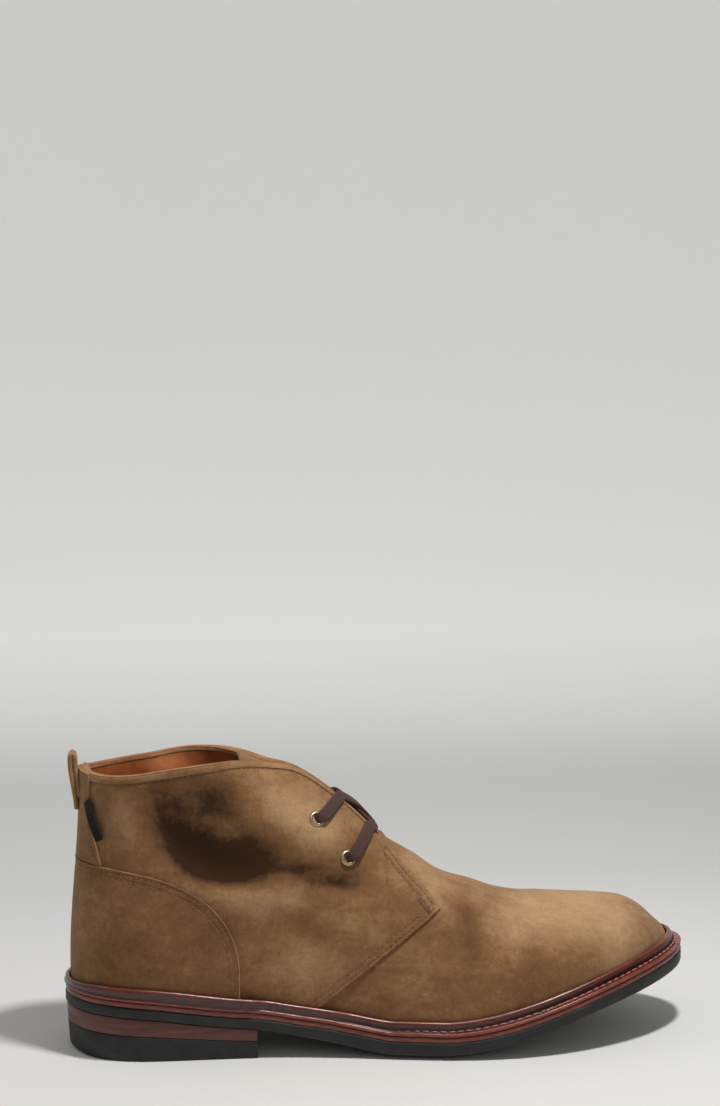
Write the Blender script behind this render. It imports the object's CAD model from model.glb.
import math

import bmesh
import bpy
import numpy as np
from mathutils import Euler, Matrix, Vector, noise


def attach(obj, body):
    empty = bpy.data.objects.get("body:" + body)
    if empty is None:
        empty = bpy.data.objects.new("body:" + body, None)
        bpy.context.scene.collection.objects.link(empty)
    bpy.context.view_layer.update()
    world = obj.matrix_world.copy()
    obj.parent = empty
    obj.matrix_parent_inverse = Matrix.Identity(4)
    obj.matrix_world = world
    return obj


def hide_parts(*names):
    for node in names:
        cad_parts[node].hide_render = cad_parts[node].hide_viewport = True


# A right chukka boot in sand suede on a storm-welted sole.
# Shapes are worked out in millimetres and turned to metres when a mesh is made.
# The tables are the boot's own last, so that every panel lies on one surface.

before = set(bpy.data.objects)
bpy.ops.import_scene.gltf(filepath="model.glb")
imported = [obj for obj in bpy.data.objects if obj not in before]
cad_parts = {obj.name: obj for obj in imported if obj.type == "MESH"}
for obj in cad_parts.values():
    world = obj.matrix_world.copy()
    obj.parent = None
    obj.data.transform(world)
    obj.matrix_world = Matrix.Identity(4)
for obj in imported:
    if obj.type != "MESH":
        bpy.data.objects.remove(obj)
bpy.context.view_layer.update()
mm = 0.001

last = {
    "length": 293, "ballWidth": 94, "heelRadius": 38, "tipShift": 6, "collarRise": 109,
    "throatEnd": 0.0, "throatRound": 0.03, "sideShift": -0.28,
}
soleSizes = {
    "heelHeight": 22, "toeSpring": 29, "outsole": 6.2, "crown": 2, "crownWidth": 13, "midsole": 2.2,
    "welt": 1.9, "gap": 0.3, "reachHeel": 5.6, "reachToe": 7.4, "ridgeRise": 6.2,
    "heelLength": 84, "liftShare": 0.6, "heelBevel": 2.4, "heelBevelLength": 16, "insole": 3,
}

# half widths of the feather line, as shares of half the ball width
outline = {
    "at": [0, 0.03, 0.08, 0.15, 0.25, 0.35, 0.45, 0.55, 0.64, 0.73, 0.82, 0.9, 0.96, 1],
    "lat": [0, 0.41, 0.585, 0.635, 0.65, 0.69, 0.79, 0.92, 0.995, 0.985, 0.87, 0.645, 0.36, -0.128],
    "med": [0, 0.4, 0.575, 0.62, 0.6, 0.56, 0.595, 0.72, 0.895, 1, 0.965, 0.795, 0.545, 0.128],
}
# how wide the upper is low down, higher up and at its top edge
widths = {
    "at": [0, 0.13, 0.21, 0.26, 0.32, 0.4, 0.45, 0.5, 0.56, 0.64, 0.73, 0.82, 0.9, 0.96, 0.985, 1],
    "bulgeLat": [0.85, 0.78, 0.78, 0.785, 0.8, 0.84, 0.9, 0.97, 1.04, 1.09, 1.09, 0.98, 0.74, 0.42, 0.2,
                 -0.128],
    "bulgeMed": [0.85, 0.755, 0.745, 0.74, 0.735, 0.75, 0.78, 0.85, 0.95, 1.04, 1.11, 1.07, 0.89, 0.6, 0.42,
                 0.128],
    "bendLat": [0.69, 0.56, 0.57, 0.6, 0.63, 0.63, 0.6, 0.58, 0.58, 0.6, 0.63, 0.6, 0.44, 0.22, 0.08, -0.128],
    "bendMed": [0.69, 0.55, 0.56, 0.58, 0.61, 0.62, 0.59, 0.56, 0.55, 0.57, 0.62, 0.66, 0.6, 0.44, 0.32, 0.128],
    "top": [0.715, 0.56, 0.545, 0.36, 0.125, 0.06, 0.06, 0.055, 0.03, 0, 0, 0, 0, 0, 0, 0],
}
# the same up the side, as shares of the section's rise
heights = {
    "at": [0, 0.13, 0.21, 0.26, 0.32, 0.36, 0.4, 0.45, 0.5, 0.56, 0.6, 0.65, 0.7, 0.76, 0.82, 0.88, 0.92,
           0.95, 0.98, 0.994, 1],
    "bulge": [0.33, 0.3, 0.27, 0.26, 0.26, 0.26, 0.26, 0.27, 0.28, 0.3, 0.31, 0.32, 0.34, 0.37, 0.41, 0.45,
              0.48, 0.5, 0.5, 0.5, 0.5],
    "bend": [0.65, 0.68, 0.7, 0.75, 0.82, 0.86, 0.88, 0.9, 0.94, 1, 1, 1, 1, 1, 1, 1, 1, 1, 1, 1, 1],
    "rise": [0.97, 1, 1.055, 1.066, 1.048, 1.038, 0.985, 0.899, 0.797, 0.704, 0.63, 0.56, 0.478, 0.41,
             0.35, 0.29, 0.25, 0.2, 0.115, 0.07, 0],
}
soleLine = {
    "at": [0, 0.11, 0.24, 0.29, 0.35, 0.4, 0.45, 0.5, 0.59, 0.64, 0.7, 0.77, 0.84, 0.92, 1],
    "heel": [1, 0.925, 0.7, 0.63, 0.45, 0.295, 0.125, 0, 0, 0, 0, 0, 0, 0, 0],
    "toe": [0, 0, 0, 0, 0, 0, 0, 0, 0, 0.065, 0.2, 0.4, 0.6, 0.78, 0.93],
    "thick": [0.82, 0.82, 0.81, 0.83, 0.9, 0.97, 1.02, 1.04, 0.98, 0.93, 0.89, 0.86, 0.88, 0.98, 1.02],
}

half = last["ballWidth"] / 2
heelBack = -last["length"] / 2 + (soleSizes["reachHeel"] - soleSizes["reachToe"]) / 2
heelCentre = heelBack + last["heelRadius"]
heelShare = last["heelRadius"] / last["length"]
throatShare = (last["throatEnd"] - heelBack) / last["length"]


def shareOf(x):
    return (x - heelBack) / last["length"]


def uOf(at):
    return np.arccos(1 - 2 * np.clip(at, 0, 1)) / math.pi


def atOf(u):
    return (1 - np.cos(math.pi * np.asarray(u, float))) / 2


def smooth(x, low, high):
    t = np.clip((np.asarray(x, float) - low) / (high - low), 0, 1)
    return t * t * (3 - 2 * t)


def unit(vectors):
    return vectors / np.linalg.norm(vectors, axis=-1, keepdims=True)


def alongOf(line):
    return unit(np.gradient(line, axis=0))


def together(a, b):
    return np.broadcast_arrays(np.asarray(a, float), np.asarray(b, float))


def search(low, high, tooLow, rounds):
    # halves the span between low and high until the place is found
    for _ in range(rounds):
        middle = (low + high) / 2
        below = tooLow(middle)
        low, high = np.where(below, middle, low), np.where(below, high, middle)
    return (low + high) / 2


def spline(knots, values, low, high):
    # a natural cubic spline, read off at close steps so that later lookups are quick
    n = len(knots)
    system, right = np.zeros((n, n)), np.zeros(n)
    system[0, 0] = system[-1, -1] = 1
    for i in range(1, n - 1):
        before, after = knots[i] - knots[i - 1], knots[i + 1] - knots[i]
        system[i, i - 1:i + 2] = before, 2 * (before + after), after
        right[i] = 6 * ((values[i + 1] - values[i]) / after - (values[i] - values[i - 1]) / before)
    bend = np.linalg.solve(system, right)
    steps = np.linspace(low, high, 3001)
    i = np.clip(np.searchsorted(knots, steps), 1, n - 1)
    span = knots[i] - knots[i - 1]
    place = np.clip(steps, knots[0], knots[-1])
    a = (knots[i] - place) / span
    b = 1 - a
    curved = ((a ** 3 - a) * bend[i - 1] + (b ** 3 - b) * bend[i]) * span ** 2 / 6
    slope = (values[i] - values[i - 1]) / span
    endSlope = slope + np.where(b > 0.5, bend[i - 1], -bend[i]) * span / 6
    drawn = a * values[i - 1] + b * values[i] + curved + endSlope * (steps - place)
    return lambda knot: np.interp(knot, steps, drawn)


curveOf = {}
for table in (outline, widths, heights):
    for key in table:
        if key != "at":
            curveOf[key] = spline(uOf(np.array(table["at"], float)), np.array(table[key], float), 0, 1)
for key in ("heel", "toe", "thick"):
    curveOf[key] = spline(np.array(soleLine["at"], float), np.array(soleLine[key], float), -0.06, 1.06)
heelU = float(uOf(heelShare))


def underside(x):
    at = shareOf(x)
    heel = np.maximum(0, curveOf["heel"](at)) * soleSizes["heelHeight"]
    return heel + np.maximum(0, curveOf["toe"](at)) * soleSizes["toeSpring"]


def edgeLift(x):
    return soleSizes["crown"] * smooth(shareOf(x), 0.28, 0.48)


def outsoleTop(x):
    return underside(x) + edgeLift(x) + soleSizes["outsole"] * curveOf["thick"](shareOf(x))


def featherHeight(x):
    return outsoleTop(x) + soleSizes["midsole"] + 2 * soleSizes["gap"]


def featherPoint(u, side):
    width = curveOf["lat" if side < 0 else "med"](u)
    return np.stack([heelBack + last["length"] * atOf(u), side * width * half], -1)


def featherNormal(u, side):
    step = 0.002
    u = np.asarray(u, float)
    along = featherPoint(np.clip(u + step, 0, 1), side) - featherPoint(np.clip(u - step, 0, 1), side)
    normal = np.stack([-along[..., 1], along[..., 0]], -1) * side
    normal[u < step] = (-1, 0)
    normal[u > 1 - step] = (1, 0)
    return unit(normal)


def rimPoint(u, side, grow):
    return featherPoint(u, side) + featherNormal(u, side) * np.asarray(grow, float)[..., None]


def weltReach(u):
    heel, toe = soleSizes["reachHeel"], soleSizes["reachToe"]
    return heel + (toe - heel) * smooth(atOf(u), 0.45, 0.8)


def bezier(points, v):
    w = 1 - v
    return w ** 3 * points[0] + 3 * w ** 2 * v * points[1] + 3 * w * v ** 2 * points[2] + v ** 3 * points[3]


def sectionOut(u, side):
    # how far out the four handles of the section's curve stand
    name = "Lat" if side < 0 else "Med"
    at = atOf(u)
    lean = last["tipShift"] * smooth(at, 0.45, 1)
    into = np.clip((at - (throatShare - last["throatRound"])) / last["throatRound"], 0, 1)
    top = np.maximum(0, curveOf["top"](u)) * half * np.sqrt(1 - into ** 2)
    return [curveOf[name.lower()](u) * half, curveOf["bulge" + name](u) * half,
            curveOf["bend" + name](u) * half, side * lean + top]


def sectionUp(u):
    rise = curveOf["rise"](u) * last["collarRise"]
    bend = np.where(atOf(u) >= throatShare, 1, np.minimum(1, curveOf["bend"](u)))
    return [0 * rise, curveOf["bulge"](u) * rise, bend * rise, rise]


heelOut = {side: [last["heelRadius"]] + [float(v) for v in sectionOut(0.0, side)[1:]] for side in (-1, 1)}
heelAcross = {side: float(featherPoint(heelU, side)[1]) for side in (-1, 1)}


def surfacePoint(u, side, v):
    u, v = together(u, v)
    ground = featherPoint(u, side)
    y = side * bezier(sectionOut(np.maximum(u, heelU), side), v)
    turn = (heelCentre - ground[..., 0]) / last["heelRadius"]
    inHeel = u < heelU
    x = np.where(inHeel, heelCentre - bezier(heelOut[side], v) * turn, ground[..., 0])
    y = np.where(inHeel, y * ground[..., 1] / heelAcross[side], y)
    z = featherHeight(ground[..., 0]) + bezier(sectionUp(u), v)
    return np.stack([x, y, z], -1)


def surfaceNormal(u, side, v):
    u, v = together(u, v)
    step = 0.004
    u0, u1 = np.maximum(u - step, 0), np.minimum(u + step, 1 - step / 4)
    v0, v1 = np.maximum(v - step, 0), np.minimum(v + step, 1)
    along = surfacePoint(u1, side, v) - surfacePoint(u0, side, v)
    up = surfacePoint(u, side, v1) - surfacePoint(u, side, v0)
    normal = np.cross(along, up) * -side
    normal /= np.maximum(np.linalg.norm(normal, axis=-1, keepdims=True), 1e-9)
    normal[..., 1] = np.where(u < step, 0, normal[..., 1])
    normal[..., 2] *= smooth(v, 0, 0.15)
    normal = np.where((u > 1 - step / 2)[..., None], np.array([1.0, 0, 0]), normal)
    return normal / np.maximum(np.linalg.norm(normal, axis=-1, keepdims=True), 1e-9)


# Folds of the empty boot: the side, a curve drawn on it, how deep the fold is (or, above 0, how high),
# how far it spreads above and below its line, and how soon it fades at its two ends.
folds = [
    (-1, [(-113, 142), (-110, 93), (-88, 83), (-34, 88)], -4.5, (16, 7), (0.5, 0.35)),
    (-1, [(-93, 140), (-88, 122), (-76, 108), (-52, 100)], -1.1, (9, 7), (0.4, 0.5)),
    (-1, [(-54, 89), (-38, 84), (-26, 80), (-4, 78)], -2.4, (8, 3.2), (0.4, 0.4)),
    (-1, [(-78, 131), (-52, 122), (-36, 106), (-24, 94)], 2.2, (12, 10), (0.3, 0.3)),
    (-1, [(-104, 88), (-84, 76), (-58, 74), (-34, 76)], 1.3, (6, 9), (0.3, 0.4)),
    (-1, [(-128, 132), (-128, 118), (-126, 106), (-120, 96)], 0.9, (6, 6), (0.3, 0.3)),
    (-1, [(-66, 70), (-48, 64), (-32, 56), (-20, 46)], -0.9, (7, 5), (0.4, 0.4)),
    (-1, [(0, 90), (8, 83), (13, 76), (17, 68)], -0.9, (3, 2.4), (0.3, 0.5)),
    (-1, [(12, 88), (20, 78), (24, 68), (34, 58)], 0.9, (6, 5), (0.4, 0.4)),
    (-1, [(34, 76), (40, 62), (41, 48), (36, 34)], -0.9, (6, 6), (0.3, 0.4)),
    (-1, [(62, 66), (68, 56), (68, 46), (62, 36)], -0.5, (6, 6), (0.4, 0.4)),
    (1, [(-112, 142), (-106, 96), (-84, 86), (-38, 88)], -4.2, (15, 6), (0, 0.3)),
    (1, [(-50, 90), (-32, 82), (-14, 78), (8, 80)], -2.0, (8, 4), (0.4, 0.4)),
    (1, [(-78, 128), (-52, 118), (-34, 104), (-22, 92)], 1.6, (12, 10), (0.3, 0.3)),
    (1, [(32, 76), (38, 60), (40, 46), (38, 30)], -0.9, (6, 6), (0.3, 0.4)),
]


def foldAt(point, side):
    x, z = point[..., 0, None], point[..., 2, None]
    total = np.zeros(point.shape[:-1])
    t = np.linspace(0, 1, 33)
    for foldSide, path, depth, reaches, ends in folds:
        if foldSide != side:
            continue
        curve = bezier(np.array(path, float)[:, None, :], t[:, None])
        along = alongOf(curve)
        gapX, gapZ = x - curve[:, 0], z - curve[:, 1]
        above = gapZ * along[:, 0] - gapX * along[:, 1]
        reach = np.where(above > 0, *reaches)
        fade = smooth(t, 0, ends[0] + 1e-6) * smooth(1 - t, 0, ends[1] + 1e-6)
        total += depth * (np.exp(-(gapX ** 2 + gapZ ** 2) / reach ** 2) * fade).max(axis=-1)
    return total


swells = [(26, 0, 0.7), (11, 9, 0.22)]  # breadth in mm, shift and height


def unevenAt(point):
    values = [sum(noise.noise(Vector((p[0] / size, p[1] / size + shift, p[2] / size))) * height
                  for size, shift, height in swells) for p in point.reshape(-1, 3)]
    return np.array(values).reshape(point.shape[:-1])


# where folds and swells die away: by the sole, at the back and under the collar
calm = {"sole": (0.03, 0.14), "back": (0.0, 0.1), "collar": (0.9, 1), "collarShare": 0.65}


def skin(u, side, v, grow):
    # the surface with its folds, moved out by grow
    u, v = together(u, v)
    point = surfacePoint(u, side, v)
    rim = np.where(atOf(u) < throatShare, 1 - calm["collarShare"] * smooth(v, *calm["collar"]), 1)
    change = (foldAt(point, side) * rim + unevenAt(point)) * smooth(v, *calm["sole"]) * smooth(u, *calm["back"])
    lift = np.asarray(grow, float) + change
    return point + surfaceNormal(u, side, v) * lift[..., None]


# where the pile is brushed lighter or darker: x, z, reach along, reach up, how much
shades = [(90, 60, 32, 11, 0.42), (116, 44, 16, 14, 0.26), (50, 78, 30, 9, 0.16), (58, 34, 34, 9, -0.12),
          (-66, 124, 26, 9, -0.26), (-84, 66, 10, 12, -0.14), (-44, 52, 14, 14, 0.12),
          (-126, 33, 28, 12, -0.36), (-36, 42, 18, 12, 0.22), (8, 84, 16, 9, 0.16), (60, 56, 18, 9, 0.12),
          (-70, 96, 24, 8, -0.2)]
pileDraft = {"even": 0.62, "foldDepth": 6.0, "soleLine": (0.0, 0.16), "soleShade": 0.16, "range": (-0.4, 1.4)}


def napAt(u, side, v):
    # brushed-down pile: lowest where the suede is darkest in the folds, 1 where it is open and light
    d = pileDraft
    point = surfacePoint(u, side, v)
    value = d["even"] + foldAt(point, side) / d["foldDepth"] - d["soleShade"] * (1 - smooth(v, *d["soleLine"]))
    for x, z, reachX, reachZ, much in shades:
        gapX, gapZ = (point[..., 0] - x) / reachX, (point[..., 2] - z) / reachZ
        value = value + much * np.exp(-gapX ** 2 - gapZ ** 2)
    return np.clip(value, *d["range"])


def distanceTo(line, point):
    # how far a point lies from a line drawn on the side view
    gap = point[..., None, [0, 2]] - line
    return np.sqrt((gap ** 2).sum(axis=-1).min(axis=-1))


def groove(distance, rows, depth=0.32, width=0.5):
    return -depth * sum(np.exp(-((distance - row) / width) ** 2) for row in rows)


def edgeRelief(distance, rows, lip=0.3, lipWidth=0.9):
    # the grooves of the seams beside an edge, and the edge's own small lip
    return groove(distance, rows) + lip * np.exp(-(distance / lipWidth) ** 2)


def rowAtHeight(u, side, z):
    u, z = together(u, z)
    return search(np.zeros_like(u), np.ones_like(u), lambda v: surfacePoint(u, side, v)[..., 2] < z, 26)


def locate(x, z, side):
    # the (u, v) of a place drawn on the side view
    x, z = together(x, z)
    u = search(np.zeros_like(x), np.ones_like(x),
               lambda u: surfacePoint(u, side, rowAtHeight(u, side, z))[..., 0] < x, 22)
    return u, rowAtHeight(u, side, z)


def bySide(side, make, size=3):
    # one array of points, filled by a rule that is asked for each side
    points = np.zeros((len(side), size))
    for one in (-1, 1):
        pick = side == one
        points[pick] = make(one, pick)
    return points


def overRidge(u, v, outer, grow):
    # one sheet over both sides, joined along the top line
    lat, med = skin(u, -1, v, grow), skin(u, 1, v, grow)
    return np.where((v >= 1 - 1e-9)[:, None], (lat + med) / 2, np.where(outer[:, None], lat, med))


def ringStep(t, profile):
    # what the profile says at each step round a ring
    return np.array(profile, float)[np.round(t * len(profile)).astype(int) % len(profile)]


def linked(name, data):
    thing = bpy.data.objects.new(name, data)
    bpy.context.scene.collection.objects.link(thing)
    return thing


def weld(bm, fill=False):
    bmesh.ops.remove_doubles(bm, verts=bm.verts, dist=2e-6)
    if fill:
        bmesh.ops.holes_fill(bm, edges=bm.edges)


def finishMesh(name, bm, material, stands=(), closed=True):
    weld(bm)
    if closed:
        bmesh.ops.recalc_face_normals(bm, faces=bm.faces)
    for face in bm.faces:
        face.smooth = True
    mesh = bpy.data.meshes.new(name)
    bm.to_mesh(mesh)
    bm.free()
    piece = linked(name, mesh)
    mesh.materials.append(material)
    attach(piece, "root")
    if stands:
        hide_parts(*stands)
    return piece


def gridMesh(columns, rows, place, nap=None):
    # a create_grid sheet whose points are sent to their places; s and t run from 0 to 1
    bm = bmesh.new()
    bmesh.ops.create_grid(bm, x_segments=columns, y_segments=rows, size=0.5)
    bm.verts.ensure_lookup_table()
    flat = np.array([v.co[:2] for v in bm.verts])
    flat = (flat - flat.min(axis=0)) / (flat.max(axis=0) - flat.min(axis=0))
    s, t = flat[:, 0], flat[:, 1]
    points = place(s, t)
    layer = bm.verts.layers.float.new("nap")
    values = nap(s, t) if nap else np.full(len(points), pileDraft["even"])
    for vert, point, value in zip(bm.verts, points, values):
        vert.co = Vector((point[0], point[1] + last["sideShift"], point[2])) * mm
        vert[layer] = float(value)
    return bm


def thicken(piece, thickness, bevel=0.35, segments=2, offset=-1, edgeMaterial=None):
    solid = piece.modifiers.new("thickness", "SOLIDIFY")
    solid.thickness = thickness * mm
    solid.offset = offset
    solid.use_even_offset = False
    if edgeMaterial:
        piece.data.materials.append(edgeMaterial)
        solid.material_offset_rim = 1
    if bevel:
        soft = piece.modifiers.new("edge", "BEVEL")
        soft.width = bevel * mm
        soft.segments = segments
        soft.limit_method = "ANGLE"
        soft.angle_limit = math.radians(50)
    return piece


def facingOut(bm, middle=(0, 0, 60)):
    # open sheets: turn the faces away from the inside of the boot
    weld(bm)
    bmesh.ops.recalc_face_normals(bm, faces=bm.faces)
    centre = Vector(middle) * mm
    score = 0.0
    for face in bm.faces:
        away = face.calc_center_median() - centre
        away.x *= 0.15
        score += away.dot(face.normal) * face.calc_area()
    if score < 0:
        bmesh.ops.reverse_faces(bm, faces=bm.faces)
    return bm


def runOf(points):
    # how far along the line each of its points lies
    return np.concatenate([[0], np.cumsum(np.linalg.norm(np.diff(points, axis=0), axis=1))])


def readAt(place, run, values):
    return np.stack([np.interp(place, run, column) for column in values.T], -1)


def spread(samples, count):
    # the same curve with its points spread evenly along it
    run = runOf(samples)
    return readAt(np.linspace(0, run[-1], count), run, samples)


def newMaterial(name):
    material = bpy.data.materials.new(name)
    material.use_nodes = True
    tree = material.node_tree
    tree.nodes.clear()
    out = tree.nodes.new("ShaderNodeOutputMaterial")
    shader = tree.nodes.new("ShaderNodeBsdfPrincipled")
    tree.links.new(shader.outputs[0], out.inputs[0])
    return material, tree, shader, tree.nodes.new("ShaderNodeTexCoord").outputs["Object"]


def wire(tree, node, inputs):
    # numbers and colours are set, the outputs of other nodes are linked
    for key, value in inputs.items():
        if isinstance(value, (tuple, float, int)):
            node.inputs[key].default_value = value
        else:
            tree.links.new(value, node.inputs[key])
    return node


def srgb(r, g, b):
    return tuple(((c / 255) / 12.92 if c / 255 <= 0.04045 else ((c / 255 + 0.055) / 1.055) ** 2.4)
                 for c in (r, g, b)) + (1,)


def noiseNode(tree, source, scale, detail=4, roughness=0.6, distortion=0.0):
    node = tree.nodes.new("ShaderNodeTexNoise")
    return wire(tree, node, {"Vector": source, "Scale": scale, "Detail": detail, "Roughness": roughness,
                             "Distortion": distortion}).outputs[0]


def rampNode(tree, value, stops):
    # a stop's colour may be one number, for a grey
    ramp = tree.nodes.new("ShaderNodeValToRGB")
    while len(ramp.color_ramp.elements) < len(stops):
        ramp.color_ramp.elements.new(0.5)
    for element, (place, colour) in zip(ramp.color_ramp.elements, stops):
        element.position = place
        element.color = colour if isinstance(colour, tuple) else (colour,) * 3 + (1,)
    return wire(tree, ramp, {0: value}).outputs[0]


def timesColour(tree, a, b):
    mix = tree.nodes.new("ShaderNodeMix")
    mix.data_type = "RGBA"
    mix.blend_type = "MULTIPLY"
    return wire(tree, mix, {"Factor": 1.0, "A": a, "B": b}).outputs["Result"]


def mathNode(tree, kind, a, b):
    node = tree.nodes.new("ShaderNodeMath")
    node.operation = kind
    return wire(tree, node, {0: a, 1: b}).outputs[0]


def bumpNode(tree, height, strength, distance):
    node = tree.nodes.new("ShaderNodeBump")
    return wire(tree, node, {"Height": height, "Strength": strength, "Distance": distance}).outputs[0]


def stretched(tree, place, scale, turn=(0, 0, 0)):
    node = tree.nodes.new("ShaderNodeMapping")
    return wire(tree, node, {"Vector": place, "Rotation": turn, "Scale": scale}).outputs[0]


def napNode(tree):
    node = tree.nodes.new("ShaderNodeAttribute")
    node.attribute_name = "nap"
    return node.outputs["Fac"]


suedeLook = {
    "ramp": [(0.05, srgb(50, 27, 11)), (0.5, srgb(132, 94, 61)), (0.95, srgb(188, 152, 112))], "shift": -0.81,
    # scale, detail, roughness, distortion
    "patches": (30, 3, 0.5, 0.4), "clouds": (110, 5, 0.62, 0.8), "strokes": (90, 4, 0.6, 1.2),
    "pile": (420, 5, 0.7, 0.5), "fibres": (1500, 3, 0.7),
    "weights": {"patches": 0.42, "clouds": 0.34, "strokes": 0.3, "pile": 0.3},
    "brushTurn": (0, 0.5, 0), "brushStretch": (0.45, 1, 1.3), "grain": [(0.3, 0.78), (0.7, 1.1)],
    "sheen": 0.35, "sheenTint": srgb(226, 200, 165), "bump": 0.35, "bumpPile": 1.6,
}


def makeSuede(name, tint=(1, 1, 1, 1), lighter=0.0):
    d = suedeLook
    material, tree, shader, place = newMaterial(name)
    brushed = stretched(tree, place, d["brushStretch"], d["brushTurn"])
    parts = {key: noiseNode(tree, brushed if key == "strokes" else place, *d[key])
             for key in ("patches", "clouds", "strokes", "pile", "fibres")}
    value = mathNode(tree, "ADD", napNode(tree), d["shift"] + lighter)
    for key, weight in d["weights"].items():
        value = mathNode(tree, "ADD", value, mathNode(tree, "MULTIPLY", parts[key], weight))
    colour = timesColour(tree, rampNode(tree, value, d["ramp"]), rampNode(tree, parts["fibres"], d["grain"]))
    height = mathNode(tree, "ADD", parts["fibres"], mathNode(tree, "MULTIPLY", parts["pile"], d["bumpPile"]))
    wire(tree, shader, {
        "Base Color": timesColour(tree, colour, tint), "Roughness": 0.95, "Specular IOR Level": 0.12,
        "Sheen Weight": d["sheen"], "Sheen Roughness": 0.55, "Sheen Tint": d["sheenTint"],
        "Normal": bumpNode(tree, height, d["bump"], 0.0004),
    })
    return material


def makeLeather(name, dark, light, rough, scale, grainScale, bump, coat=0.0, streak=(1, 1, 1), shaded=False):
    material, tree, shader, place = newMaterial(name)
    clouds = noiseNode(tree, stretched(tree, place, streak), scale, 5, 0.65, 0.3)
    grain = noiseNode(tree, place, grainScale, 3, 0.6)
    colour = rampNode(tree, clouds, [(0.3, srgb(*dark)), (0.7, srgb(*light))])
    if shaded:
        # dirt and wax gather where the piece's own value is low
        depth = rampNode(tree, napNode(tree), [(0.0, (0.16, 0.12, 0.12, 1)), (1.0, (1.25, 1.2, 1.15, 1))])
        colour = timesColour(tree, colour, depth)
    wire(tree, shader, {
        "Base Color": colour, "Roughness": rampNode(tree, clouds, [(0.3, rough + 0.1), (0.7, rough - 0.08)]),
        "Coat Weight": coat, "Coat Roughness": 0.25, "Normal": bumpNode(tree, grain, bump, 0.0003),
    })
    return material


clothLook = {"bands": 9, "unevenBands": 1.5, "fuzz": 1800, "bandShare": 0.3, "fuzzShare": 0.8, "bump": 0.5}


def makeLaceCloth(name, dark, light):
    # a flat plait, whose slanting bands follow the piece's UV map
    d = clothLook
    material, tree, shader, place = newMaterial(name)
    wave = tree.nodes.new("ShaderNodeTexWave")
    wave.wave_type = "BANDS"
    wave.bands_direction = "DIAGONAL"
    wire(tree, wave, {"Vector": tree.nodes.new("ShaderNodeUVMap").outputs[0], "Scale": d["bands"],
                      "Distortion": d["unevenBands"]})
    fuzz = noiseNode(tree, place, d["fuzz"], 3, 0.7)
    value = mathNode(tree, "ADD", mathNode(tree, "MULTIPLY", wave.outputs["Fac"], d["bandShare"]),
                     mathNode(tree, "MULTIPLY", fuzz, d["fuzzShare"]))
    wire(tree, shader, {
        "Base Color": rampNode(tree, value, [(0.2, srgb(*dark)), (0.9, srgb(*light))]), "Roughness": 0.7,
        "Specular IOR Level": 0.15, "Sheen Weight": 0.05, "Normal": bumpNode(tree, value, d["bump"], 0.0003),
    })
    return material


def makeMetal(name, colour, rough):
    material, tree, shader, place = newMaterial(name)
    scratches = noiseNode(tree, place, 2600, 3, 0.7)
    bright = srgb(*colour)
    dull = tuple(c * 0.75 for c in bright[:3]) + (1,)
    wire(tree, shader, {
        "Base Color": rampNode(tree, scratches, [(0.2, dull), (0.8, bright)]), "Metallic": 1.0,
        "Roughness": rampNode(tree, scratches, [(0.3, rough), (0.7, rough + 0.15)]),
    })
    return material


suede = makeSuede("sandSuede")
suedeEdge = makeSuede("suedeEdge", (1.06, 1.04, 1.0, 1), 0.1)
# dark, light, roughness, scale of the clouds and of the grain, bump, coat, streak
lining = makeLeather("liningLeather", (126, 62, 28), (190, 108, 54), 0.55, 60, 1100, 0.25)
insoleLook = makeLeather("insoleLeather", (150, 98, 58), (186, 130, 82), 0.5, 50, 900, 0.2)
weltLook = makeLeather("weltLeather", (78, 26, 14), (138, 60, 40), 0.32, 160, 700, 0.2, 0.3, (1, 1, 2.5), True)
midsoleLook = makeLeather("midsoleLeather", (86, 33, 22), (138, 70, 50), 0.38, 150, 900, 0.25, 0.15, (1, 1, 6))
liftLook = makeLeather("liftLeather", (62, 25, 14), (106, 48, 30), 0.42, 120, 900, 0.3, 0.1, (0.6, 0.6, 10))
rubberLook = makeLeather("soleRubber", (18, 17, 17), (29, 28, 28), 0.6, 90, 1400, 0.15)
threadTan = makeLeather("suedeThread", (100, 69, 44), (142, 106, 72), 0.6, 900, 2600, 0.3)
threadWelt = makeLeather("weltThread", (132, 70, 62), (196, 140, 128), 0.35, 900, 2600, 0.3)
laceLook = makeLaceCloth("laceCotton", (46, 28, 25), (96, 70, 64))
tabLook = makeLaceCloth("tabTape", (18, 15, 14), (38, 32, 30))
eyeletLook = makeMetal("eyeletMetal", (190, 170, 138), 0.3)
print("materials made")


quarterDraft = {
    "foot": (-36, 22), "middle": (-2, 51), "corner": (24.5, 66.5), "throat": (last["throatEnd"], 97.0),
    "footSteps": 30, "throatSteps": 24, "columns": 210, "rows": 120, "cornerRow": 0.82,
    "evenShare": 0.75, "crowding": 2.4,  # how its columns close up towards the front edge
    "grow": 1.4, "thickness": 1.35, "seams": (1.7, 3.9), "collarRows": (2.6, 3.8), "collarPress": 0.28,
}


def quarterEdge():
    # the front edge of a quarter on the side view: from its foot to the corner, and on to the throat
    q = quarterDraft
    foot, middle, corner, throat = (np.array(q[key], float) for key in ("foot", "middle", "corner", "throat"))
    t = np.linspace(0, 1, q["footSteps"])[:, None]
    s = np.linspace(0, 1, q["throatSteps"])[1:, None]
    return (1 - t) ** 2 * foot + 2 * t * (1 - t) * middle + t ** 2 * corner, corner + (throat - corner) * s


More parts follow.
